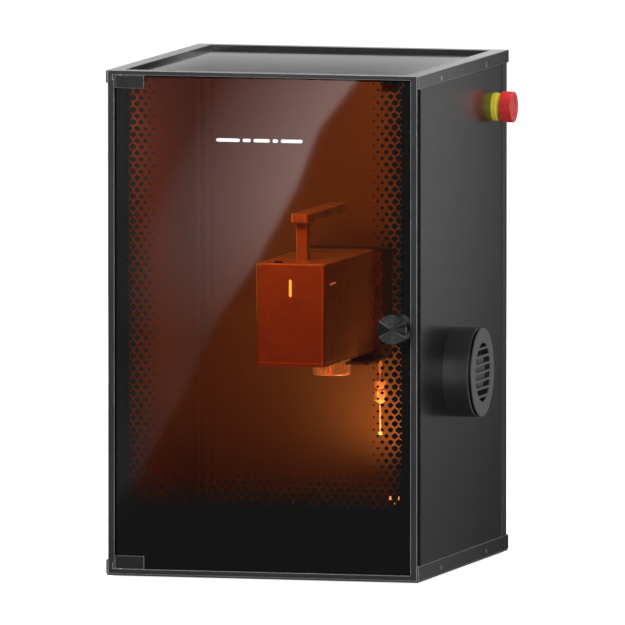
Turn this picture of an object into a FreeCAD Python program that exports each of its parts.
"""Desktop laser cutter: a black enclosure with an amber pivot door, a galvo laser head on a short focus
stage, a work bed, an exhaust fan in a round collar and an emergency stop button.

Everything is drawn in the enclosure's own axes: X to the right, Y to the back, Z up, with X = 0 in the
middle of the enclosure and Z = 0 on the table. Depths are given from the front face with depth(), and
heights from the underside of the base plate with height(). At the end every piece is moved so that the
origin is the centre of the whole machine's footprint.
"""

import FreeCAD
import Part

import math
import os

# ---------------------------------------------------------------- driving dimensions, millimetres

BODY_W, BODY_D, BODY_H = 340.0, 384.0, 540.0   # enclosure without side plates, vent, knob and feet
FOOT_R, FOOT_H, FOOT_X, FOOT_INSET = 9.0, 2.0, 130.0, 40.0
BASE_T = 2.0                                   # steel base plate
TUBE, TUBE_WALL = 15.0, 1.5                    # square tube of the frame
LIP_SIDE, LIP_TOP, LIP_BOTTOM = 7.0, 4.5, 5.3  # visible widths of the front bezel
BEZEL_D = 9.0                                  # depth of the bezel, and of the recess for the door
PANEL_T = 4.0                                  # top and side panels
TOP_PANEL_FRONT, TOP_PANEL_SUNK = 15.0, 4.0    # the top panel lies lower than the frame around it
REAR_PANEL_T = 3.5
TRIM_T = 2.2                                   # plates screwed along the top and bottom side edges
TRIM_TOP_H, TRIM_BOTTOM_H = 13.3, 15.3

GLASS_T, GLASS_SET_BACK = 4.0, 2.0
DOOR_GAP = 1.0
PIVOT_X, PIVOT_DEPTH = -157.4, 3.0             # the door's vertical axis
PIVOT_SWEEP_R = 5.2                            # nothing on the hinge side reaches further from the axis
PIN_R, PIN_L, BUSH_R, BUSH_L = 1.6, 13.0, 2.5, 3.5
CLAMP_W, CLAMP_H, CLAMP_LEAF, CLAMP_FIT = 32.0, 13.6, 2.0, 0.5

KNOB_X, KNOB_Z, KNOB_R, KNOB_REACH = 145.0, 270.5, 16.5, 10.0
KNOB_STUD_R, STRIKE_R = 4.0, 6.5

VENT_DEPTH, VENT_Z, VENT_REACH = 156.0, 212.5, 32.5
COLLAR_R, COLLAR_BORE, COLLAR_L = 48.0, 45.5, 28.3
GRILLE_R, GRILLE_T, GRILLE_HOLE_R = 47.5, 1.5, 31.5
GRILLE_SLOTS, GRILLE_PITCH, GRILLE_SLOT = 8, 8.5, 5.9
DUCT_R, FAN_HUB_R, FAN_BLADES = 33.0, 19.0, 7
VENT_PASSAGE_R = 40.0                          # hole in the side panel behind the fan

ESTOP_DEPTH, ESTOP_Z = 328.0, 483.0
ESTOP_BEZEL_R, ESTOP_BEZEL_L = 15.2, 9.5
ESTOP_NECK_R, ESTOP_FLANGE_L = 14.2, 5.5       # the yellow collar steps in before the cap
ESTOP_CAP_R, ESTOP_CAP_L = 16.65, 13.5
ESTOP_BARREL_R, ESTOP_STEM_R = 11.0, 7.0

HEAD_W, HEAD_FRONT, HEAD_REAR = 76.0, 117.0, 325.0
HEAD_BOTTOM, HEAD_TOP, HEAD_WALL = 217.0, 327.2, 2.5
CHASSIS_T, REAR_COVER_T = 4.0, 3.0
LENS_DEPTH, LENS_R, LENS_BORE, LENS_BOTTOM = 290.0, 20.25, 17.0, 194.2
LENS_GROOVES = 30
HEAD_CORNER_R, HEAD_TOP_BEVEL = 3.5, 1.2
ARM_W, ARM_T, ARM_FRONT, ARM_REAR, ARM_TOP = 20.0, 9.0, 155.0, 317.0, 377.5
ARM_CORNER_R, ARM_EDGE_R = 5.0, 1.2
POST_W, POST_FRONT, POST_REAR = 12.5, 164.0, 178.0
BUTTON_X, BUTTON_DEPTH, BUTTON_R, BUTTON_PROUD = -16.0, 127.0, 5.0, 1.8
LIGHT_Z, LIGHT_H, LIGHT_W = 301.0, 18.3, 2.7

STAGE_W, STAGE_BOTTOM, STAGE_TOP = 90.0, 207.0, 325.0
STAGE_AXIS_DEPTH = 350.0                       # plane of the lead screw and the guide rods
STAGE_GAP = 0.5                                # carriage to housing
CARRIAGE_W, CARRIAGE_T = 95.0, 8.0
SHELF_FRONT, SHELF_TOP, SHELF_T = 260.0, 210.4, 3.0
SCREW_R, ROD_R, ROD_X = 4.0, 4.0, 28.0

BED_W, BED_FRONT, BED_REAR, BED_TOP, BED_T = 220.0, 115.0, 350.0, 50.0, 8.0
PLINTH_W, PLINTH_WALL = 230.0, 2.0
FIXTURE_SPACING, FIXTURE_HOLE_R = 150.0, 2.5

PROBE_X, PROBE_DEPTH, PROBE_R = 45.0, 325.0, 7.0
RUNNING = 0.08                                 # radial clearance of shafts and pins that turn or slide

SIDE_X = BODY_W / 2
INNER_X = SIDE_X - PANEL_T
OPENING_X = SIDE_X - LIP_SIDE
FRONT_EDGE = BEZEL_D + TUBE                    # back of the front posts
REAR_FRAME = BODY_D - TUBE                     # front of the rear posts
REAR_PANEL_FRONT = 374.5
PANEL_FRONT, PANEL_REAR = 16.8, 358.6          # the side panels' faces, seen from the side
PANEL_STEP = 350.0                             # where a side panel's inward step begins
CEILING = BODY_H - TOP_PANEL_SUNK - PANEL_T    # underside of the top panel


def depth(distance):
    """Y of a point this far behind the front face."""
    return distance - BODY_D / 2


def height(above_base):
    """Z of a point this far above the underside of the base plate."""
    return above_base + FOOT_H


# ---------------------------------------------------------------- drawing helpers

def vec(x, y, z):
    return FreeCAD.Vector(x, y, z)


RIGHT, BACKWARD, UP = vec(1, 0, 0), vec(0, 1, 0), vec(0, 0, 1)


def block(x, d, h):
    """Box between (low, high) pairs: X, depth behind the front face, height above the base."""
    size = (x[1] - x[0], d[1] - d[0], h[1] - h[0])
    return Part.makeBox(*size, vec(x[0], depth(d[0]), height(h[0])))


def around(middle, half_width):
    return (middle - half_width, middle + half_width)


def centred(half_width):
    return around(0.0, half_width)


def round_bar(x, d, h, radius, length, along):
    return Part.makeCylinder(radius, length, vec(x, depth(d), height(h)), along)


def taper(x, d, h, radius_1, radius_2, length, along):
    return Part.makeCone(radius_1, radius_2, length, vec(x, depth(d), height(h)), along)


def ring(x, d, h, outer, inner, length, along):
    return round_bar(x, d, h, outer, length, along).cut(round_bar(x, d, h, inner, length, along))


def fuse(first, *others):
    return first.multiFuse(list(others)).removeSplitter()


def mirrored(shape):
    return shape.mirror(vec(0, 0, 0), RIGHT)


def both_sides(shape):
    return Part.makeCompound([shape, mirrored(shape)])


def edges_along(shape, direction, where=lambda point: True):
    """Straight edges parallel to a direction whose middle point passes a test."""
    found = []
    for edge in shape.Edges:
        if not isinstance(edge.Curve, Part.Line):
            continue
        start, end = edge.Vertexes[0].Point, edge.Vertexes[-1].Point
        if (end - start).normalize().cross(direction).Length < 1e-6 and where((start + end) * 0.5):
            found.append(edge)
    return found


def tube(x, d, h, rear_cap=0.0):
    """Square frame tube, hollow along its longest side, with a cap welded in its back end if asked."""
    spans = [x, d, h]
    longest = max(range(3), key=lambda i: spans[i][1] - spans[i][0])
    hollow = [s if i == longest else (s[0] + TUBE_WALL, s[1] - TUBE_WALL) for i, s in enumerate(spans)]
    hollow[1] = (hollow[1][0], hollow[1][1] - rear_cap)
    return block(*spans).cut(block(*hollow))


# ---------------------------------------------------------------- enclosure frame

TRIM_SCREW_DEPTHS = (BODY_D / 4, BODY_D * 3 / 4)
TRIM_SCREW_HEIGHTS = (BASE_T + 6.0, BODY_H - 9.0)
TRIM_SCREW_HEAD_R, TRIM_SCREW_HEAD_H, TRIM_SCREW_SHANK_R, TRIM_SCREW_L = 2.75, 1.3, 1.5, 6.5
TRIM_SCREW_SOCKET_R, TRIM_SCREW_SOCKET_L = 1.0, 0.9
BASE_PLATE_INSET = 1.0


def at_trim_screws(make):
    """The same shape at every trim screw on both sides of the enclosure."""
    right = [make(d, h) for d in TRIM_SCREW_DEPTHS for h in TRIM_SCREW_HEIGHTS]
    return Part.makeCompound(right + [mirrored(shape) for shape in right])


def trim_screw_blank(d, h):
    outer = SIDE_X + TRIM_T
    shank_l = TRIM_SCREW_L - TRIM_SCREW_HEAD_H
    head = taper(outer - TRIM_SCREW_HEAD_H, d, h, TRIM_SCREW_SHANK_R, TRIM_SCREW_HEAD_R,
                 TRIM_SCREW_HEAD_H, RIGHT)
    return fuse(head, round_bar(outer - TRIM_SCREW_L, d, h, TRIM_SCREW_SHANK_R, shank_l, RIGHT))


def trim_screw(d, h):
    socket = round_bar(SIDE_X + TRIM_T - TRIM_SCREW_SOCKET_L, d, h, TRIM_SCREW_SOCKET_R,
                       TRIM_SCREW_SOCKET_L, RIGHT)
    return trim_screw_blank(d, h).cut(socket)


def frame_pieces():
    screw_holes = at_trim_screws(trim_screw_blank)
    base_half = SIDE_X + TRIM_T - BASE_PLATE_INSET
    pieces = {"base_plate": block(centred(base_half), (0, BODY_D), (0, BASE_T))}

    feet = [round_bar(x, d, -FOOT_H, FOOT_R, FOOT_H, UP)
            for x in (-FOOT_X, FOOT_X) for d in (FOOT_INSET, BODY_D - FOOT_INSET)]
    pieces["rubber_feet"] = Part.makeCompound(feet)

    low, high = (BASE_T, BASE_T + TUBE), (BODY_H - TUBE, BODY_H)
    side = (SIDE_X - TUBE, SIDE_X)
    between = centred(SIDE_X - TUBE)
    front, rear, long_run = (BEZEL_D, FRONT_EDGE), (REAR_FRAME, BODY_D), (BEZEL_D, BODY_D)
    side_low, side_high = (tube(side, long_run, h, TUBE_WALL) for h in (low, high))
    bottom = [side_low, mirrored(side_low), tube(between, front, low), tube(between, rear, low)]
    top = [side_high, mirrored(side_high), tube(between, rear, high)]
    pieces["bottom_rails"] = Part.makeCompound([rail.cut(screw_holes) for rail in bottom])
    pieces["top_rails"] = Part.makeCompound([rail.cut(screw_holes) for rail in top])

    upright = (low[1], high[0])
    front_post = tube((INNER_X - TUBE, INNER_X), front, upright)
    rear_post = tube(side, rear, upright)
    pieces["corner_posts"] = Part.makeCompound([front_post, mirrored(front_post),
                                                rear_post, mirrored(rear_post)])

    trim = (SIDE_X, SIDE_X + TRIM_T)
    for name, h in (("bottom_trim_plates", (BASE_T, BASE_T + TRIM_BOTTOM_H)),
                    ("top_trim_plates", (BODY_H - TRIM_TOP_H, BODY_H))):
        pieces[name] = both_sides(block(trim, (0, BODY_D), h)).cut(screw_holes)
    pieces["trim_screws"] = at_trim_screws(trim_screw)
    return pieces


BUSH_HEIGHTS = (BASE_T + LIP_BOTTOM - BUSH_L, BODY_H - LIP_TOP)
SHADOW_GROOVE_FRONT = 2.0
CLAMP_NOTCH_W, CLAMP_NOTCH_H = 2.0, 5.6


def front_bezel():
    """Ring around the door, with a shadow groove down each outer side and holes for the pivot bushes."""
    opening_h = (BASE_T + LIP_BOTTOM, BODY_H - LIP_TOP)
    bezel = block(centred(SIDE_X), (0, BEZEL_D), (BASE_T, BODY_H))
    bezel = bezel.cut(block(centred(OPENING_X), (0, BEZEL_D), opening_h))
    header = block(centred(SIDE_X - TUBE), (BEZEL_D, TOP_PANEL_FRONT), (opening_h[1], BODY_H))
    bezel = fuse(bezel, header)

    groove = block((INNER_X, SIDE_X), (SHADOW_GROOVE_FRONT, BEZEL_D),
                   (BASE_T + TRIM_BOTTOM_H, BODY_H - TRIM_TOP_H))
    notch_x = (-OPENING_X - CLAMP_NOTCH_W, -OPENING_X)
    notches = [block(notch_x, (0, GLASS_SET_BACK), (opening_h[0], opening_h[0] + CLAMP_NOTCH_H)),
               block(notch_x, (0, GLASS_SET_BACK), (opening_h[1] - CLAMP_NOTCH_H, opening_h[1]))]
    cutters = [groove, mirrored(groove)] + notches
    cutters += [round_bar(PIVOT_X, PIVOT_DEPTH, h, BUSH_R, BUSH_L, UP) for h in BUSH_HEIGHTS]
    return bezel.cut(Part.makeCompound(cutters))


def pivot_bushes():
    return Part.makeCompound([ring(PIVOT_X, PIVOT_DEPTH, h, BUSH_R, PIN_R + RUNNING, BUSH_L, UP)
                              for h in BUSH_HEIGHTS])


# ---------------------------------------------------------------- enclosure panels

INLET_X, INLET_HALF_W, INLET_HALF_H = -115.0, 23.0, 11.0
SOCKET_X, SOCKET_HALF_W, SOCKET_HALF_H = -60.0, 7.0, 6.0
SOCKETS_Z = 33.0
AIR_SLOTS, AIR_SLOT_X, AIR_SLOT_Z, AIR_SLOT_H, AIR_SLOT_PITCH = 5, (40.0, 130.0), 24.0, 4.0, 7.0


def side_panel():
    """Right-hand panel: its back edge steps inwards to meet the rear post."""
    h = (BASE_T + TUBE, BODY_H - TUBE)
    face = block((INNER_X, SIDE_X), (PANEL_FRONT, PANEL_REAR), h)
    step = block((INNER_X - PANEL_T, INNER_X), (PANEL_STEP, REAR_FRAME), h)
    return fuse(face, step)


def panel_pieces():
    h = (BASE_T + TUBE, BODY_H - TUBE)
    inner = SIDE_X - TUBE
    plain = side_panel()
    right = plain.cut(round_bar(INNER_X, VENT_DEPTH, VENT_Z, VENT_PASSAGE_R, PANEL_T, RIGHT))
    right = right.cut(round_bar(INNER_X, ESTOP_DEPTH, ESTOP_Z, ESTOP_BARREL_R, PANEL_T, RIGHT))
    right = right.cut(fan_screws())

    rear_d = (REAR_PANEL_FRONT, REAR_PANEL_FRONT + REAR_PANEL_T)
    rear = block(centred(inner), rear_d, h)
    cutters = [block(around(INLET_X, INLET_HALF_W), rear_d, around(SOCKETS_Z, INLET_HALF_H)),
               block(around(SOCKET_X, SOCKET_HALF_W), rear_d, around(SOCKETS_Z, SOCKET_HALF_H))]
    for i in range(AIR_SLOTS):
        low = AIR_SLOT_Z + AIR_SLOT_PITCH * i
        cutters.append(block(AIR_SLOT_X, rear_d, (low, low + AIR_SLOT_H)))
    rear = rear.cut(Part.makeCompound(cutters))

    top = block(centred(inner), (TOP_PANEL_FRONT, REAR_FRAME), (CEILING, CEILING + PANEL_T))
    return {"left_panel": mirrored(plain), "right_panel": right, "rear_panel": rear, "top_panel": top}


SEAL_GAP = 0.3                                 # door glass to seal
SEAL_UPRIGHT = (25.0, 518.0)
MAGNET_W, MAGNET_HALF_H, MAGNET_FRONT = 14.0, 12.0, 8.8
SWITCH_X, SWITCH_D, SWITCH_H = (129.0, 143.5), (9.5, 28.0), 9.3
LAMP_HALF_W, LAMP_D, LAMP_H, LAMP_BEVEL = 110.0, (110.0, 124.0), 6.0, 2.5


def cabin_fittings():
    """Seal, magnet, door switch and ceiling light."""
    seal_d = (GLASS_SET_BACK + GLASS_T + SEAL_GAP, BEZEL_D)
    latch_side, pivot_side = (152.0, 161.0), (PIVOT_X + 4.4, PIVOT_X + 8.4)
    seal = [block(latch_side, seal_d, SEAL_UPRIGHT),
            block(pivot_side, seal_d, SEAL_UPRIGHT),
            block((-120.0, 150.0), seal_d, (10.0, 15.0))]
    post_face = INNER_X - TUBE
    magnet = block((post_face - MAGNET_W, post_face), (MAGNET_FRONT, FRONT_EDGE),
                   around(KNOB_Z, MAGNET_HALF_H))
    magnet = magnet.makeFillet(1.5, edges_along(magnet, UP, lambda p: p.x < post_face - 1))
    switch = block(SWITCH_X, SWITCH_D, (CEILING - SWITCH_H, CEILING))
    switch = switch.makeFillet(1.0, edges_along(switch, BACKWARD, lambda p: p.z < height(CEILING - 1)))
    lamp = block(centred(LAMP_HALF_W), LAMP_D, (CEILING - LAMP_H, CEILING))
    lamp = lamp.makeChamfer(LAMP_BEVEL, edges_along(lamp, RIGHT, lambda p: p.z < height(CEILING - 1)))
    return {"door_seal": Part.makeCompound(seal), "door_magnet": magnet,
            "interlock_switch": switch, "led_bar": lamp}


# ---------------------------------------------------------------- rear sockets

FLANGE_RIM, FLANGE_T, FLANGE_CORNER_R = 2.0, 2.0, 2.0
INLET_FRONT, INLET_POCKET_FRONT = 358.0, 362.0
PLUG_POCKET_X, ROCKER_POCKET_X = (-21.0, 3.0), (6.0, 21.0)   # from the middle of the inlet
ROCKER_DEPTH, ROCKER_PIN_R, ROCKER_TILT = 376.0, 1.5, 8.0
BLADE_X, BLADE_L, BLADE_RISE = (-16.0, -9.0, -2.0), 11.0, (-2.0, 2.0, -2.0)
SOCKET_FRONT, SOCKET_PROUD, SOCKET_POCKET_FRONT, SOCKET_WALL = 360.0, 0.8, 369.0, 2.8


def rear_sockets():
    outer_face = REAR_PANEL_FRONT + REAR_PANEL_T
    flange = block(around(INLET_X, INLET_HALF_W + FLANGE_RIM), (outer_face, outer_face + FLANGE_T),
                   around(SOCKETS_Z, INLET_HALF_H + FLANGE_RIM))
    flange = flange.makeFillet(FLANGE_CORNER_R, edges_along(flange, BACKWARD))
    body = block(around(INLET_X, INLET_HALF_W), (INLET_FRONT, outer_face), around(SOCKETS_Z, INLET_HALF_H))
    inlet = fuse(flange, body)
    for pocket_x, pocket_half_h in ((PLUG_POCKET_X, 8.0), (ROCKER_POCKET_X, 10.0)):
        x = (INLET_X + pocket_x[0], INLET_X + pocket_x[1])
        inlet = inlet.cut(block(x, (INLET_POCKET_FRONT, outer_face + FLANGE_T),
                                around(SOCKETS_Z, pocket_half_h)))
    inlet = inlet.cut(round_bar(INLET_X + 3.5, ROCKER_DEPTH, SOCKETS_Z, ROCKER_PIN_R + RUNNING, 18.5, RIGHT))
    blades = []
    for x, rise in zip(BLADE_X, BLADE_RISE):
        blades.append(block(around(INLET_X + x, 1.0), (INLET_POCKET_FRONT, INLET_POCKET_FRONT + BLADE_L),
                            around(SOCKETS_Z + rise, 2.0)))
    inlet = fuse(inlet, *blades)

    socket_d = (SOCKET_FRONT, outer_face + SOCKET_PROUD)
    socket = block(around(SOCKET_X, SOCKET_HALF_W), socket_d, around(SOCKETS_Z, SOCKET_HALF_H))
    pocket = block(around(SOCKET_X, SOCKET_HALF_W - SOCKET_WALL), (SOCKET_POCKET_FRONT, socket_d[1]),
                   around(SOCKETS_Z, SOCKET_HALF_H - 2.1))
    tongue = block(around(SOCKET_X, 2.8), (SOCKET_POCKET_FRONT, outer_face - 1.0),
                   (SOCKETS_Z - 1.2, SOCKETS_Z + 2.0))
    return {"power_inlet": inlet, "data_socket": fuse(socket.cut(pocket), tongue), "power_switch": rocker()}


def rocker():
    """Rocker key with its two pivot stubs, tilted to its off side."""
    x0, x1 = INLET_X + ROCKER_POCKET_X[0] + 0.4, INLET_X + ROCKER_POCKET_X[1] - 0.4
    outline = [(-3.0, -7.0), (-3.0, 7.0), (2.2, 9.0), (3.5, 0.0), (2.2, -9.0)]
    points = [vec(x0, depth(ROCKER_DEPTH + y), height(SOCKETS_Z + z)) for y, z in outline]
    key = Part.Face(Part.makePolygon(points + points[:1])).extrude(vec(x1 - x0, 0, 0))
    stubs = round_bar(x0 - 2.0, ROCKER_DEPTH, SOCKETS_Z, ROCKER_PIN_R, x1 - x0 + 3.0, RIGHT)
    key = fuse(key, stubs)
    key.rotate(vec(0, depth(ROCKER_DEPTH), height(SOCKETS_Z)), RIGHT, ROCKER_TILT)
    return key


# ---------------------------------------------------------------- door

CLAMP_HEEL = 5.9                               # solid part of a clamp, from the pivot to the glass
GLASS_BEVEL, KNOB_BEVEL = 0.4, 0.9


def door_pieces():
    glass_d = (GLASS_SET_BACK, GLASS_SET_BACK + GLASS_T)
    glass_h = (BASE_T + LIP_BOTTOM + DOOR_GAP, BODY_H - LIP_TOP - DOOR_GAP)
    glass_x = (PIVOT_X - 4.0, OPENING_X - DOOR_GAP)
    corner_x = (glass_x[0], PIVOT_X + CLAMP_HEEL + 0.1)
    glass = block(glass_x, glass_d, glass_h)

    clamp_top = BODY_H - LIP_TOP - CLAMP_FIT
    clamp_bottom = BASE_T + LIP_BOTTOM + CLAMP_FIT
    clamps = []
    for h in ((clamp_bottom, clamp_bottom + CLAMP_H), (clamp_top - CLAMP_H, clamp_top)):
        glass = glass.cut(block(corner_x, glass_d, (h[0] - CLAMP_FIT, h[1] + CLAMP_FIT)))
        clamps.append(hinge_clamp(h, glass_d))
    glass = glass.cut(round_bar(KNOB_X, glass_d[0], KNOB_Z, KNOB_STUD_R, GLASS_T, BACKWARD))
    glass = glass.makeChamfer(GLASS_BEVEL, [e for e in glass.Edges if e.BoundBox.YLength < 1e-6
                                            and e.Length > 300.0])

    pin_heights = (BUSH_HEIGHTS[0] + 0.6, BUSH_HEIGHTS[1] + BUSH_L - 0.4 - PIN_L)
    pins = Part.makeCompound([round_bar(PIVOT_X, PIVOT_DEPTH, h, PIN_R, PIN_L, UP) for h in pin_heights])
    knob = round_bar(KNOB_X, -KNOB_REACH, KNOB_Z, KNOB_R, KNOB_REACH + GLASS_SET_BACK, BACKWARD)
    knob = knob.makeChamfer(KNOB_BEVEL, [e for e in knob.Edges if e.BoundBox.YLength < 1e-6
                                         and abs(e.BoundBox.YMax - depth(-KNOB_REACH)) < 1e-6])
    stud = round_bar(KNOB_X, glass_d[0], KNOB_Z, KNOB_STUD_R, GLASS_T + CLAMP_LEAF, BACKWARD)
    strike = ring(KNOB_X, glass_d[1], KNOB_Z, STRIKE_R, KNOB_STUD_R, CLAMP_LEAF, BACKWARD)
    return {"door_glass": glass, "hinge_clamps": Part.makeCompound([c.cut(pins) for c in clamps]),
            "hinge_pins": pins, "door_knob": fuse(knob, stud), "door_strike": strike}


def hinge_clamp(h, glass_d):
    """Pivot block at the corner with one leaf on each face of the glass, rounded about the pivot."""
    whole_d = (0, glass_d[1] + CLAMP_LEAF)
    left = PIVOT_X - PIVOT_SWEEP_R
    solid_to = PIVOT_X + CLAMP_HEEL
    heel = block((left, PIVOT_X), whole_d, h)
    heel = heel.common(round_bar(PIVOT_X, PIVOT_DEPTH, h[0], PIVOT_SWEEP_R, h[1] - h[0], UP))
    core = block((PIVOT_X, solid_to), whole_d, h)
    front_leaf = block((solid_to, left + CLAMP_W), (0, glass_d[0]), h)
    back_leaf = block((solid_to, left + CLAMP_W), (glass_d[1], whole_d[1]), h)
    return fuse(heel, core, front_leaf, back_leaf)


# ---------------------------------------------------------------- emergency stop

ESTOP_FACE_X = SIDE_X + ESTOP_BEZEL_L          # outer face of the yellow collar
ESTOP_SKIRT, ESTOP_SKIRT_GAP = 4.5, 0.4        # depth of the cap's hollow skirt, and its gap to the collar
CONTACTS_X, CONTACTS_HALF = (100.0, 130.0), 14.0
ESTOP_NUT_R, ESTOP_NUT_T = 15.0, 5.5
SPIGOT_R, SPIGOT_L = 3.0, 5.0
CAP_EDGE_R, CAP_DISH_R, CAP_DISH_T = 1.6, 12.5, 1.0
GRIP_COUNT, GRIP_R, GRIP_OFFSET, GRIP_PLAIN = 36, 0.75, 0.35, 3.0


def estop_pieces():
    def bar(x0, x1, radius):
        return round_bar(x0, ESTOP_DEPTH, ESTOP_Z, radius, x1 - x0, RIGHT)

    bore = bar(CONTACTS_X[1] + 4.0, ESTOP_FACE_X, ESTOP_STEM_R + RUNNING)
    collar = fuse(bar(SIDE_X, SIDE_X + ESTOP_FLANGE_L, ESTOP_BEZEL_R),
                  bar(SIDE_X, ESTOP_FACE_X, ESTOP_NECK_R)).cut(bore)
    rims = [e for e in collar.Edges if e.Length > 80.0 and e.BoundBox.XMin > SIDE_X + 1.0]
    collar = collar.makeChamfer(0.6, [e for e in rims if e.BoundBox.YLength > 2 * ESTOP_NECK_R + 0.1
                                      or e.BoundBox.XMin > ESTOP_FACE_X - 0.1])
    contacts = block(CONTACTS_X, around(ESTOP_DEPTH, CONTACTS_HALF), around(ESTOP_Z, CONTACTS_HALF))
    contacts = contacts.makeFillet(1.5, edges_along(contacts, RIGHT))
    body = fuse(bar(CONTACTS_X[1] - 2.0, SIDE_X, ESTOP_BARREL_R),
                bar(INNER_X - ESTOP_NUT_T, INNER_X, ESTOP_NUT_R), contacts).cut(bore)

    cap_x0, cap_x1 = ESTOP_FACE_X, ESTOP_FACE_X + ESTOP_CAP_L
    cap = bar(cap_x0, cap_x1, ESTOP_CAP_R)
    cap = cap.makeFillet(CAP_EDGE_R, [e for e in cap.Edges if abs(e.BoundBox.XMin - cap_x1) < 1e-6])
    cap = cap.cut(bar(cap_x0, cap_x0 + ESTOP_SKIRT, ESTOP_BEZEL_R + ESTOP_SKIRT_GAP))
    cap = cap.cut(taper(cap_x1 - CAP_DISH_T, ESTOP_DEPTH, ESTOP_Z, CAP_DISH_R - 1.0, CAP_DISH_R,
                        CAP_DISH_T, RIGHT))
    cap = cap.cut(grip_grooves(cap_x0, cap_x1 - GRIP_PLAIN))
    stem_top = cap_x0 + ESTOP_SKIRT - 0.3
    spigot_x1 = cap_x0 + ESTOP_SKIRT + SPIGOT_L
    cap = cap.cut(bar(cap_x0, spigot_x1 + 0.3, SPIGOT_R + RUNNING))
    stem = fuse(bar(140.0, stem_top, ESTOP_STEM_R), bar(stem_top, spigot_x1, SPIGOT_R))
    return {"estop_bezel": collar, "estop_body": body, "estop_cap": cap, "estop_stem": stem}


def grip_grooves(x0, x1):
    """Fine ribs around the cap are what is left between these grooves."""
    reach = ESTOP_CAP_R + GRIP_OFFSET
    grooves = []
    for i in range(GRIP_COUNT):
        turn = 2 * math.pi * i / GRIP_COUNT
        d, h = ESTOP_DEPTH + reach * math.cos(turn), ESTOP_Z + reach * math.sin(turn)
        grooves.append(round_bar(x0, d, h, GRIP_R, x1 - x0, RIGHT))
    return Part.makeCompound(grooves)


# ---------------------------------------------------------------- exhaust vent

COLLAR_FLOOR_T, COLLAR_RIM = 2.0, 1.2
FAN_REAR, FAN_FRONT = SIDE_X + COLLAR_FLOOR_T, SIDE_X + VENT_REACH - GRILLE_T
FAN_FLANGE_T, FAN_FRONT_FLANGE_R = 2.0, 44.5
FAN_MOTOR_R, FAN_MOTOR_L, FAN_SHAFT_R = 15.0, 15.0, 1.5
FAN_SCREW_CIRCLE, FAN_SCREW_SHANK_R = 43.5, 1.5
FAN_SCREW_HEAD_R, FAN_SCREW_HEAD_H, FAN_SCREW_SOCKET_R, FAN_SCREW_SOCKET_L = 2.8, 2.0, 1.3, 1.2


def vent_bar(x0, x1, radius):
    return round_bar(x0, VENT_DEPTH, VENT_Z, radius, x1 - x0, RIGHT)


def vent_ring(x0, x1, outer, inner):
    return vent_bar(x0, x1, outer).cut(vent_bar(x0, x1, inner))


def fan_screws():
    screws = []
    for i in range(4):
        turn = math.radians(45 + 90 * i)
        d, h = VENT_DEPTH + FAN_SCREW_CIRCLE * math.cos(turn), VENT_Z + FAN_SCREW_CIRCLE * math.sin(turn)
        head_x = INNER_X - FAN_SCREW_HEAD_H
        head = round_bar(head_x, d, h, FAN_SCREW_HEAD_R, FAN_SCREW_HEAD_H, RIGHT)
        shank = round_bar(INNER_X, d, h, FAN_SCREW_SHANK_R, FAN_REAR + FAN_FLANGE_T - INNER_X, RIGHT)
        socket = round_bar(head_x, d, h, FAN_SCREW_SOCKET_R, FAN_SCREW_SOCKET_L, RIGHT)
        screws.append(fuse(head, shank).cut(socket))
    return Part.makeCompound(screws)


def vent_pieces():
    screws = fan_screws()
    collar = fuse(vent_ring(SIDE_X, SIDE_X + COLLAR_L, COLLAR_R, COLLAR_BORE),
                  vent_ring(SIDE_X, FAN_REAR, COLLAR_R, VENT_PASSAGE_R))
    rim = [e for e in collar.Edges if abs(e.BoundBox.XMin - SIDE_X - COLLAR_L) < 1e-6 and e.Length > 295.0]
    collar = collar.makeChamfer(COLLAR_RIM, rim).cut(screws)

    grille = vent_bar(FAN_FRONT, SIDE_X + VENT_REACH, GRILLE_R)
    grille = grille.makeChamfer(0.5, [e for e in grille.Edges if e.BoundBox.XMin > FAN_FRONT + 1.0])
    window = vent_bar(FAN_FRONT, SIDE_X + VENT_REACH, GRILLE_HOLE_R)
    for i in range(GRILLE_SLOTS):
        middle = VENT_Z + (i - (GRILLE_SLOTS - 1) / 2) * GRILLE_PITCH
        slot = block((FAN_FRONT, SIDE_X + VENT_REACH), around(VENT_DEPTH, GRILLE_R),
                     around(middle, GRILLE_SLOT / 2))
        grille = grille.cut(slot.common(window))

    frame = fuse(vent_ring(FAN_REAR, FAN_REAR + FAN_FLANGE_T, COLLAR_BORE, DUCT_R),
                 vent_ring(FAN_REAR, FAN_FRONT, DUCT_R + 2.0, DUCT_R),
                 vent_ring(FAN_FRONT - FAN_FLANGE_T, FAN_FRONT, FAN_FRONT_FLANGE_R, DUCT_R),
                 vent_bar(FAN_REAR, FAN_REAR + FAN_MOTOR_L, FAN_MOTOR_R), *fan_spokes())
    frame = frame.cut(vent_bar(FAN_REAR + 1.0, FAN_REAR + FAN_MOTOR_L, FAN_SHAFT_R + RUNNING)).cut(screws)
    return {"vent_collar": collar, "vent_grille": grille, "exhaust_fan_frame": frame,
            "exhaust_fan_rotor": fan_rotor(), "fan_screws": screws}


def fan_spokes():
    spokes = []
    centre = vec(FAN_REAR, depth(VENT_DEPTH), height(VENT_Z))
    for i in range(3):
        spoke = block((FAN_REAR, FAN_REAR + FAN_FLANGE_T),
                      (VENT_DEPTH + FAN_MOTOR_R - 2.0, VENT_DEPTH + DUCT_R + 1.0), around(VENT_Z, 2.0))
        spoke.rotate(centre, RIGHT, 30 + 120 * i)
        spokes.append(spoke)
    return spokes


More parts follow.
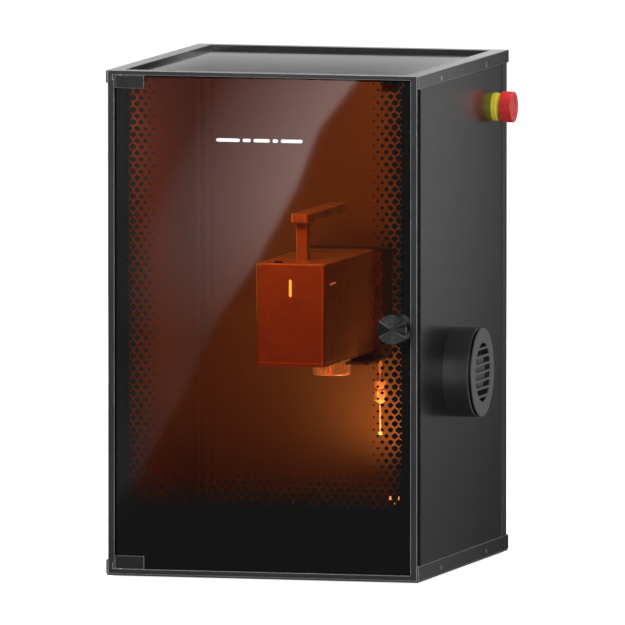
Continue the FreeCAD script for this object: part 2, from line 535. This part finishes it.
def fan_rotor():
    """Cup-shaped hub over the motor, with twisted blades and the shaft in the middle."""
    front = FAN_FRONT - 1.2
    hub = vent_ring(FAN_REAR + 4.0, front - 2.5, FAN_HUB_R, FAN_MOTOR_R + 1.0)
    cap = vent_bar(front - 2.5, front, FAN_HUB_R)
    cap = cap.makeFillet(1.2, [e for e in cap.Edges if abs(e.BoundBox.XMin - front) < 1e-6])
    shaft = vent_bar(FAN_REAR + 3.0, front - 2.5, FAN_SHAFT_R)
    centre = vec(0, depth(VENT_DEPTH), height(VENT_Z))
    blades = []
    for i in range(FAN_BLADES):
        blade = fan_blade((FAN_REAR + front) / 2 + 1.0).common(vent_bar(FAN_REAR, front, DUCT_R - 1.0))
        blade.rotate(centre, RIGHT, 360.0 * i / FAN_BLADES)
        blades.append(blade)
    return fuse(hub, cap, shaft, *blades)


def fan_blade(middle_x):
    """One blade reaching up from the hub, less pitched at its tip."""
    sections = []
    for reach, pitch, chord in ((FAN_HUB_R - 1.0, 50.0, 15.0), (DUCT_R, 32.0, 21.0)):
        along = vec(math.sin(math.radians(pitch)), math.cos(math.radians(pitch)), 0)
        across = vec(-along.y, along.x, 0)
        centre = vec(middle_x, depth(VENT_DEPTH), height(VENT_Z) + reach)
        corners = [centre + along * (sa * chord / 2) + across * (sc * 0.8)
                   for sa, sc in ((-1, -1), (1, -1), (1, 1), (-1, 1))]
        sections.append(Part.makePolygon(corners + corners[:1]))
    return Part.makeLoft(sections, True, True)


# ---------------------------------------------------------------- focus stage

STAGE_FRONT = HEAD_REAR + CARRIAGE_T + STAGE_GAP
STAGE_WALL, STAGE_CAP = 5.0, 8.0
MOTOR_SIZE, MOTOR_BEVEL, MOTOR_BORE_L = 28.0, 3.0, 12.0
SCREW_TIP_GAP = 0.5
TONGUE_HALF_W, TONGUE_REAR, TONGUE_H = 38.0, 360.0, (260.0, 298.0)
NUT_R, NUT_L, NUT_FLANGE_R, NUT_FLANGE_T = 8.0, 30.0, 10.0, 2.0
SHELF_CORNER_R = 4.0


def stage_pieces():
    half = STAGE_W / 2
    inner_h = (STAGE_BOTTOM + STAGE_CAP, STAGE_TOP - STAGE_CAP)
    housing = block(centred(half), (STAGE_FRONT, REAR_PANEL_FRONT), (STAGE_BOTTOM, STAGE_TOP))
    housing = housing.makeFillet(3.0, edges_along(housing, UP, lambda p: p.y < depth(STAGE_FRONT + 1)))
    hollow = block(centred(half - STAGE_WALL), (STAGE_FRONT, REAR_PANEL_FRONT - STAGE_WALL), inner_h)

    rods = Part.makeCompound([round_bar(x, STAGE_AXIS_DEPTH, STAGE_BOTTOM + 2, ROD_R,
                                        STAGE_TOP - STAGE_BOTTOM - 4, UP) for x in (-ROD_X, ROD_X)])
    screw_top = inner_h[1] + STAGE_CAP - 3.0
    bearing = round_bar(0, STAGE_AXIS_DEPTH, inner_h[1], SCREW_R + RUNNING,
                        screw_top - inner_h[1] + SCREW_TIP_GAP, UP)
    housing = housing.cut(hollow).cut(rods).cut(bearing)

    motor_top = inner_h[0] + MOTOR_SIZE
    motor = block(centred(MOTOR_SIZE / 2), around(STAGE_AXIS_DEPTH, MOTOR_SIZE / 2), (inner_h[0], motor_top))
    motor = motor.makeChamfer(MOTOR_BEVEL, edges_along(motor, UP))
    motor = motor.cut(round_bar(0, STAGE_AXIS_DEPTH, motor_top - MOTOR_BORE_L, SCREW_R + RUNNING,
                                MOTOR_BORE_L, UP))
    screw_foot = motor_top - MOTOR_BORE_L + SCREW_TIP_GAP
    screw = round_bar(0, STAGE_AXIS_DEPTH, screw_foot, SCREW_R, screw_top - screw_foot, UP)
    return {"stage_housing": housing, "stage_rods": rods, "stage_motor": motor, "lead_screw": screw,
            "head_carriage": carriage(), "stage_nut": stage_nut()}


def carriage():
    """Plate behind the head, a shelf under it that passes either side of the lens, and a guided tongue."""
    plate_d = (HEAD_REAR, HEAD_REAR + CARRIAGE_T)
    shelf_h = (SHELF_TOP - SHELF_T, SHELF_TOP)
    plate = block(centred(CARRIAGE_W / 2), plate_d, (shelf_h[0], STAGE_TOP))
    plate = plate.makeFillet(SHELF_CORNER_R,
                             edges_along(plate, BACKWARD, lambda p: p.z > height(STAGE_TOP - 1)))
    shelf = block(centred(CARRIAGE_W / 2), (SHELF_FRONT, plate_d[1]), shelf_h)
    shelf = shelf.makeFillet(SHELF_CORNER_R, edges_along(shelf, UP))
    lens_gap = LENS_R + 3.0
    shelf = shelf.cut(block(centred(lens_gap), (SHELF_FRONT, LENS_DEPTH), shelf_h))
    shelf = shelf.cut(round_bar(0, LENS_DEPTH, shelf_h[0], lens_gap, SHELF_T, UP))
    tongue = block(centred(TONGUE_HALF_W), (plate_d[1], TONGUE_REAR), TONGUE_H)
    bore_l = TONGUE_H[1] - TONGUE_H[0]
    bores = [round_bar(x, STAGE_AXIS_DEPTH, TONGUE_H[0], radius, bore_l, UP)
             for x, radius in ((-ROD_X, ROD_R + RUNNING), (0, NUT_R), (ROD_X, ROD_R + RUNNING))]
    return fuse(plate, shelf, tongue).cut(Part.makeCompound(bores))


def stage_nut():
    foot = TONGUE_H[1] - NUT_L
    barrel = round_bar(0, STAGE_AXIS_DEPTH, foot, NUT_R, NUT_L, UP)
    flange = round_bar(0, STAGE_AXIS_DEPTH, TONGUE_H[1], NUT_FLANGE_R, NUT_FLANGE_T, UP)
    bore = round_bar(0, STAGE_AXIS_DEPTH, foot, SCREW_R + RUNNING, NUT_L + NUT_FLANGE_T, UP)
    return fuse(barrel, flange).cut(bore)


# ---------------------------------------------------------------- laser head

SHELL_BOTTOM = HEAD_BOTTOM + CHASSIS_T
SHELL_REAR = HEAD_REAR - REAR_COVER_T


def light_slot():
    """Upright slot with round ends through the head's front wall."""
    d = HEAD_FRONT
    reach = LIGHT_H / 2 - LIGHT_W / 2
    slot = block(centred(LIGHT_W / 2), (d, d + HEAD_WALL), (LIGHT_Z - reach, LIGHT_Z + reach))
    ends = [round_bar(0, d, LIGHT_Z + s * reach, LIGHT_W / 2, HEAD_WALL, BACKWARD) for s in (-1, 1)]
    return fuse(slot, *ends)


def head_pieces():
    half = HEAD_W / 2
    outer = block(centred(half), (HEAD_FRONT, SHELL_REAR), (SHELL_BOTTOM, HEAD_TOP))
    outer = outer.makeFillet(HEAD_CORNER_R, edges_along(outer, UP, lambda p: p.y < depth(HEAD_FRONT + 1)))
    outer = outer.makeChamfer(HEAD_TOP_BEVEL, [e for e in outer.Edges
                                               if e.BoundBox.ZMin > height(HEAD_TOP) - 1e-3
                                               and e.BoundBox.YMin < depth(SHELL_REAR) - 1e-3])
    hollow = block(centred(half - HEAD_WALL), (HEAD_FRONT + HEAD_WALL, SHELL_REAR),
                   (SHELL_BOTTOM, HEAD_TOP - HEAD_WALL))
    button_hole = round_bar(BUTTON_X, BUTTON_DEPTH, HEAD_TOP - HEAD_WALL, BUTTON_R + RUNNING, HEAD_WALL, UP)
    shell = outer.cut(hollow).cut(light_slot()).cut(button_hole)

    chassis = block(centred(half), (HEAD_FRONT, SHELL_REAR), (HEAD_BOTTOM, SHELL_BOTTOM))
    chassis = chassis.makeFillet(HEAD_CORNER_R,
                                 edges_along(chassis, UP, lambda p: p.y < depth(HEAD_FRONT + 1)))
    chassis = chassis.cut(round_bar(0, LENS_DEPTH, HEAD_BOTTOM, LENS_NECK_R, CHASSIS_T, UP))

    cover = block(centred(half), (SHELL_REAR, HEAD_REAR), (HEAD_BOTTOM, HEAD_TOP))
    return {"head_shell": shell, "head_chassis": chassis, "head_rear_cover": cover,
            "status_light": light_slot(), "head_button": head_button(),
            "laser_module": laser_module(), **lens_pieces(), **galvo_pieces()}


BUTTON_FLANGE, BUTTON_FLANGE_T, BUTTON_GAP = 1.5, 1.5, 0.5
MODULE_HALF_W, MODULE_D, MODULE_H = 27.0, (130.0, 245.0), 46.0
FINS, FIN_H, FIN_T, FIN_PITCH = 10, 16.0, 1.5, 5.8
BEAM_TUBE_R = 8.0
LENS_NECK_R, LENS_SEAT, LENS_GLASS_T, LENS_WALL = 19.0, 3.0, 4.0, 1.5
LENS_GROOVE_R, LENS_GROOVE_L, LENS_PLAIN = 1.0, 15.5, 4.0


def head_button():
    """Round key with a wider flange that stops it under the shell's top."""
    shoulder = HEAD_TOP - HEAD_WALL - BUTTON_GAP
    top = HEAD_TOP + BUTTON_PROUD
    key = round_bar(BUTTON_X, BUTTON_DEPTH, shoulder, BUTTON_R, top - shoulder, UP)
    key = key.makeFillet(0.6, [e for e in key.Edges if e.BoundBox.ZMin > height(top) - 1e-3])
    flange = round_bar(BUTTON_X, BUTTON_DEPTH, shoulder - BUTTON_FLANGE_T, BUTTON_R + BUTTON_FLANGE,
                       BUTTON_FLANGE_T, UP)
    return fuse(key, flange)


def laser_module():
    top = SHELL_BOTTOM + MODULE_H
    body = block(centred(MODULE_HALF_W), MODULE_D, (SHELL_BOTTOM, top))
    fins = []
    for i in range(FINS):
        middle = (i - (FINS - 1) / 2) * FIN_PITCH
        fins.append(block(around(middle, FIN_T / 2), MODULE_D, (top, top + FIN_H)))
    beam_tube = round_bar(0, MODULE_D[1], GALVO_Z, BEAM_TUBE_R, GALVO_FRONT - MODULE_D[1], BACKWARD)
    return fuse(body, beam_tube, *fins)


def lens_pieces():
    barrel = round_bar(0, LENS_DEPTH, LENS_BOTTOM, LENS_R, HEAD_BOTTOM - LENS_BOTTOM, UP)
    low_rim = [e for e in barrel.Edges if e.BoundBox.ZMax < height(LENS_BOTTOM) + 1e-3]
    barrel = barrel.makeChamfer(0.8, low_rim)
    grooves = []
    for i in range(LENS_GROOVES):
        turn = 2 * math.pi * i / LENS_GROOVES
        reach = LENS_R + 0.3
        grooves.append(round_bar(reach * math.cos(turn), LENS_DEPTH + reach * math.sin(turn),
                                 LENS_BOTTOM + LENS_PLAIN, LENS_GROOVE_R, LENS_GROOVE_L, UP))
    barrel = barrel.cut(Part.makeCompound(grooves))
    barrel = fuse(barrel, round_bar(0, LENS_DEPTH, HEAD_BOTTOM, LENS_NECK_R, CHASSIS_T, UP))
    barrel = barrel.cut(round_bar(0, LENS_DEPTH, LENS_BOTTOM, LENS_BORE - LENS_WALL,
                                  SHELL_BOTTOM - LENS_BOTTOM, UP))
    glass = round_bar(0, LENS_DEPTH, LENS_BOTTOM + LENS_SEAT, LENS_BORE, LENS_GLASS_T, UP)
    barrel = barrel.cut(glass)
    return {"lens_barrel": barrel, "lens_glass": glass}


GALVO_FRONT, GALVO_REAR, GALVO_Z = 263.0, 317.0, 244.0
GALVO_HALF_W, GALVO_H, GALVO_WALL, GALVO_CAVITY_HALF_W, BEAM_HOLE_R = 29.0, 52.0, 8.0, 15.0, 5.0
GALVO_MOTOR_R, MOTOR_X_L, MOTOR_Y_L = 8.0, 5.5, 20.0
MIRROR_SHAFT_R, MIRROR_HALF_T = 1.5, 1.0


def galvo_pieces():
    """Block over the lens with one mirror turning about X and one about Y, each on its motor's shaft."""
    top = SHELL_BOTTOM + GALVO_H
    casting = block(centred(GALVO_HALF_W), (GALVO_FRONT, GALVO_REAR), (SHELL_BOTTOM, top))
    cavity = block(centred(GALVO_CAVITY_HALF_W), (GALVO_FRONT + GALVO_WALL, GALVO_REAR - GALVO_WALL),
                   (SHELL_BOTTOM, top - GALVO_WALL))
    beam = round_bar(0, GALVO_FRONT, GALVO_Z, BEAM_HOLE_R, GALVO_WALL, BACKWARD)
    casting = casting.cut(cavity).cut(beam)

    x_axis_d, x_axis_h = LENS_DEPTH + 6.0, GALVO_Z - 6.0
    y_axis_d = LENS_DEPTH - 9.0
    motor_x = round_bar(GALVO_HALF_W, x_axis_d, x_axis_h, GALVO_MOTOR_R, MOTOR_X_L, RIGHT)
    motor_y = round_bar(0, y_axis_d, top, GALVO_MOTOR_R, MOTOR_Y_L, UP)
    bore = MIRROR_SHAFT_R + RUNNING
    bore_x = round_bar(GALVO_CAVITY_HALF_W - 1.0, x_axis_d, x_axis_h, bore, 18.0, RIGHT)
    bore_y = round_bar(0, y_axis_d, top - GALVO_WALL - 1.0, bore, 24.0, UP)
    block_group = [solid.cut(bore_x).cut(bore_y) for solid in (casting, motor_x, motor_y)]

    mirror_x = fuse(round_bar(6.0, x_axis_d, x_axis_h, MIRROR_SHAFT_R, 25.0, RIGHT),
                    tilted_plate(-3.0, x_axis_d, x_axis_h))
    mirror_y = fuse(round_bar(0, y_axis_d, top - 14.0, MIRROR_SHAFT_R, 26.0, UP),
                    turned_plate(0, y_axis_d, top - 19.0))
    return {"galvo_block": Part.makeCompound(block_group), "mirror_x": mirror_x, "mirror_y": mirror_y}


def tilted_plate(x, d, h):
    """Mirror on the shaft along X, leaning 45 degrees to send the beam down."""
    plate = block((x - 9.0, x + 9.5), around(d, MIRROR_HALF_T), around(h, 5.0))
    plate.rotate(vec(x, depth(d), height(h)), RIGHT, 45.0)
    return plate


def turned_plate(x, d, h):
    """Mirror on the upright shaft, turned 45 degrees to the beam."""
    plate = block(around(x, 6.0), around(d, MIRROR_HALF_T), around(h, 5.5))
    plate.rotate(vec(x, depth(d), height(h)), UP, 45.0)
    return plate


POST_CORNER_R, FLARE_H, FLARE_SPREAD = 1.5, 6.0, 3.0


def handle_pieces():
    """Upright post on the head with a long arm running back from its top."""
    neck = ARM_TOP - ARM_T
    post = block(centred(POST_W / 2), (POST_FRONT, POST_REAR), (HEAD_TOP, neck))
    post = post.makeFillet(POST_CORNER_R, edges_along(post, UP))
    flare = Part.makeLoft([flare_section(0.0, neck - FLARE_H), flare_section(FLARE_SPREAD / 3, neck - 2.0),
                           flare_section(FLARE_SPREAD, neck)], True, True)

    arm = block(centred(ARM_W / 2), (ARM_FRONT, ARM_REAR), (neck, ARM_TOP))
    arm = arm.makeFillet(ARM_W / 2 - 0.05, edges_along(arm, UP, lambda p: p.y > depth(ARM_REAR - 1)))
    arm = arm.makeFillet(ARM_CORNER_R, edges_along(arm, UP, lambda p: p.y < depth(ARM_FRONT + 1)))
    arm = arm.makeFillet(ARM_EDGE_R, [e for e in arm.Edges if e.BoundBox.ZMin > height(ARM_TOP) - 1e-3])
    return {"handle_post": fuse(post, flare), "handle_arm": arm}


def flare_section(spread, h):
    """Outline of the post's widening top, a little inside the post where it starts."""
    x = POST_W / 2 - 0.5 + spread
    d0, d1 = POST_FRONT + 0.5 - spread, POST_REAR - 0.5 + spread
    points = [vec(sx * x, depth(d), height(h)) for sx, d in ((-1, d0), (1, d0), (1, d1), (-1, d1))]
    return Part.makePolygon(points + points[:1])


PROBE_STEM_R, PROBE_WAIST_R, PROBE_ROD_R, PROBE_FOOT_R = 2.5, 5.5, 0.9, 2.6
PROBE_TIP, PROBE_LOWER, PROBE_WAIST, PROBE_UPPER, PROBE_STEM = 161.0, 164.5, 175.0, 178.0, 185.8
PROBE_ROD_FOOT, PROBE_FOOT_T, PROBE_ROD_TOP = 127.0, 3.0, 184.0
PROBE_TRAVEL_ROOM = 20.0


def probe_pieces():
    """Focus probe hanging from the shelf's corner: a two-part barrel and a thin sprung rod with a foot."""
    def bar(h0, h1, radius):
        return round_bar(PROBE_X, PROBE_DEPTH, h0, radius, h1 - h0, UP)

    tip = taper(PROBE_X, PROBE_DEPTH, PROBE_TIP, 2.0, PROBE_R, PROBE_LOWER - PROBE_TIP, UP)
    body = fuse(bar(PROBE_STEM, SHELF_TOP - SHELF_T, PROBE_STEM_R), bar(PROBE_UPPER, PROBE_STEM, PROBE_R),
                bar(PROBE_WAIST, PROBE_UPPER, PROBE_WAIST_R), bar(PROBE_LOWER, PROBE_WAIST, PROBE_R), tip)
    body = body.cut(bar(PROBE_TIP, PROBE_ROD_TOP + PROBE_TRAVEL_ROOM, PROBE_ROD_R + RUNNING))
    rod = fuse(bar(PROBE_ROD_FOOT + PROBE_FOOT_T - 1.0, PROBE_ROD_TOP, PROBE_ROD_R),
               bar(PROBE_ROD_FOOT, PROBE_ROD_FOOT + PROBE_FOOT_T, PROBE_FOOT_R))
    return {"probe_body": body, "probe_rod": rod}


# ---------------------------------------------------------------- work bed and electronics

BED_CORNER_R, BED_BEVEL, PLINTH_OVERHANG = 6.0, 0.8, 5.0
SUPPLY_X, SUPPLY_D, SUPPLY_TOP = (-105.0, -10.0), (150.0, 320.0), 36.0
BOARD_X, BOARD_D, BOARD_LOW, BOARD_TOP = (10.0, 100.0), (160.0, 290.0), 9.0, 10.6
STANDOFF_R, STANDOFF_INSET = 3.0, 5.0
CHIPS = (((30.0, 52.0), (190.0, 212.0), 2.4), ((62.0, 84.0), (235.0, 265.0), 11.4),
         ((22.0, 90.0), (276.0, 286.0), 9.4))   # across, depth, height above the board
CAPACITOR_R, CAPACITOR_H, CAPACITOR_DEPTH, CAPACITOR_X = 4.0, 16.0, 178.0, (70.0, 81.0, 92.0)


def bed_pieces():
    bed_h = (BED_TOP - BED_T, BED_TOP)
    bed = block(centred(BED_W / 2), (BED_FRONT, BED_REAR), bed_h)
    bed = bed.makeFillet(BED_CORNER_R, edges_along(bed, UP))
    bed = bed.makeChamfer(BED_BEVEL, [e for e in bed.Edges if e.BoundBox.ZMin > height(BED_TOP) - 1e-3])
    middle = (BED_FRONT + BED_REAR) / 2
    holes = [round_bar(sx * FIXTURE_SPACING / 2, middle + sd * FIXTURE_SPACING / 2, bed_h[0],
                       FIXTURE_HOLE_R, BED_T, UP) for sx in (-1, 1) for sd in (-1, 1)]
    bed = bed.cut(Part.makeCompound(holes))

    plinth_d = (BED_FRONT - PLINTH_OVERHANG, BED_REAR)
    plinth = block(centred(PLINTH_W / 2), plinth_d, (BASE_T, bed_h[0]))
    plinth = plinth.makeFillet(BED_CORNER_R, edges_along(plinth, UP))
    hollow_d = (plinth_d[0] + PLINTH_WALL, plinth_d[1] - PLINTH_WALL)
    hollow = block(centred(PLINTH_W / 2 - PLINTH_WALL), hollow_d, (BASE_T, bed_h[0] - PLINTH_WALL))
    hollow = hollow.makeFillet(BED_CORNER_R - PLINTH_WALL, edges_along(hollow, UP))
    return {"work_bed": bed, "machine_base": plinth.cut(hollow), **electronics()}


def electronics():
    supply = block(SUPPLY_X, SUPPLY_D, (BASE_T, SUPPLY_TOP))
    supply = supply.makeChamfer(1.0, edges_along(supply, BACKWARD, lambda p: p.z > height(SUPPLY_TOP - 1)))
    board = block(BOARD_X, BOARD_D, (BOARD_LOW, BOARD_TOP))
    places = [(x, d) for x in (BOARD_X[0] + STANDOFF_INSET, BOARD_X[1] - STANDOFF_INSET)
              for d in (BOARD_D[0] + STANDOFF_INSET, BOARD_D[1] - STANDOFF_INSET)]
    standoffs = [round_bar(x, d, BASE_T, STANDOFF_R, BOARD_LOW - BASE_T, UP) for x, d in places]
    parts = [block(x, d, (BOARD_TOP, BOARD_TOP + rise)) for x, d, rise in CHIPS]
    parts += [round_bar(x, CAPACITOR_DEPTH, BOARD_TOP, CAPACITOR_R, CAPACITOR_H, UP) for x in CAPACITOR_X]
    return {"power_supply": supply, "control_board": fuse(board, *standoffs, *parts)}


# ---------------------------------------------------------------- output

def all_pieces():
    pieces = frame_pieces()
    pieces["front_bezel"] = front_bezel()
    pieces["hinge_bushes"] = pivot_bushes()
    for group in (panel_pieces, cabin_fittings, rear_sockets, door_pieces, estop_pieces, vent_pieces,
                  stage_pieces, head_pieces, handle_pieces, probe_pieces, bed_pieces):
        pieces.update(group())
    return pieces


def footprint_centre():
    """Centre of the whole machine's footprint: the vent reaches right, the knob reaches forward."""
    return vec((VENT_REACH - TRIM_T) / 2, -KNOB_REACH / 2, 0)


def main():
    os.makedirs("parts", exist_ok=True)
    pieces = all_pieces()
    for name, shape in sorted(pieces.items()):
        moved = shape.copy()
        moved.translate(footprint_centre() * -1)
        moved.exportStep(f"parts/{name}.step")
        state = "ok" if moved.isValid() else "INVALID"
        print(f"{name:22s} {len(moved.Solids):2d} solids {moved.Volume / 1000.0:9.2f} cm3 {state}")
    print(len(pieces), "pieces")


main()
